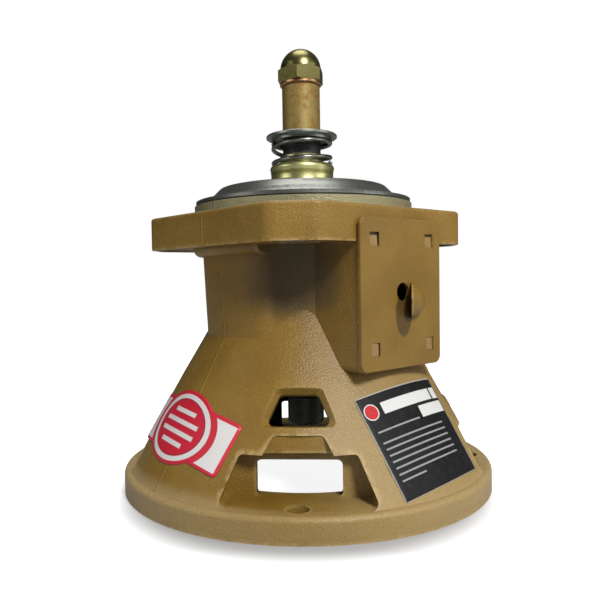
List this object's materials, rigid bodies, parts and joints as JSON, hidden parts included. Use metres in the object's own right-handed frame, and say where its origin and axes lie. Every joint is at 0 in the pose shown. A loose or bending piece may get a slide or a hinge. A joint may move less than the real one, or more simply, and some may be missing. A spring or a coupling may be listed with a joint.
{
  "type": "circulator pump bearing bracket",
  "caption": "Cast bell-shaped pump pedestal with a motor flange below, an oil well on its side, and a shaft with a spring-loaded seal and cap nut on top.",
  "frame": {"origin": "centre of the motor flange's face, on the shaft's axis", "axes": "+Z along the shaft towards the impeller end, -Y towards one of the four windows, oil well cover facing (+X, -Y)"},
  "size_m": [0.1524, 0.1524, 0.1805],
  "materials": {
    "casting_paint": "satin gold-brown enamel on sand-cast iron",
    "cover_paint": "satin gold-brown enamel on pressed steel",
    "bearing_bronze": "turned bronze",
    "wick_felt": "oil-soaked felt",
    "hard_steel": "ground steel",
    "shaft_steel": "ground steel, dull",
    "gasket_fibre": "dark gasket sheet",
    "face_plate_steel": "pressed stainless steel",
    "seal_rubber": "black moulded rubber",
    "seal_ceramic": "lapped ceramic",
    "seal_carbon": "lapped carbon",
    "seal_brass": "bright drawn brass",
    "spring_steel": "drawn stainless wire",
    "retainer_zinc": "zinc-plated steel",
    "sleeve_copper": "copper-coloured bronze, lightly tarnished",
    "nut_brass": "machined brass"
  },
  "bodies": {
    "bracket": {"bearing_bracket": "casting_paint", "lower_bearing": "bearing_bronze", "upper_bearing": "bearing_bronze", "lower_oil_wick": "wick_felt", "upper_oil_wick": "wick_felt", "lower_thrust_washer": "hard_steel", "upper_thrust_washer": "hard_steel", "oil_well_gasket": "gasket_fibre", "oil_well_cover": "cover_paint", "face_plate_gasket": "gasket_fibre", "face_plate": "face_plate_steel", "seal_seat_cup": "seal_rubber", "seal_seat": "seal_ceramic"},
    "rotor": {"shaft": "shaft_steel", "thrust_collar": "hard_steel", "collar_set_screw": "hard_steel", "water_slinger": "seal_rubber", "shaft_sleeve": "sleeve_copper", "seal_face": "seal_carbon", "seal_bellows": "seal_rubber", "seal_shell": "seal_brass", "seal_drive_band": "seal_brass", "seal_spring": "spring_steel", "nut_washer": "sleeve_copper", "cap_nut": "nut_brass"},
    "spring_retainer": {"spring_retainer": "retainer_zinc"}
  },
  "joints": [
    {"name": "rotor_spin", "type": "hinge", "parent": "bracket", "child": "rotor", "pos_m": [0, 0, 0], "axis": [0, 0, 1], "continuous": true},
    {"name": "spring_compress", "type": "slide", "parent": "rotor", "child": "spring_retainer", "axis": [0, 0, 1], "range_m": [-0.004, 0], "stiffness_N_per_m": 2000, "deforming": ["seal_spring"]}
  ]
}
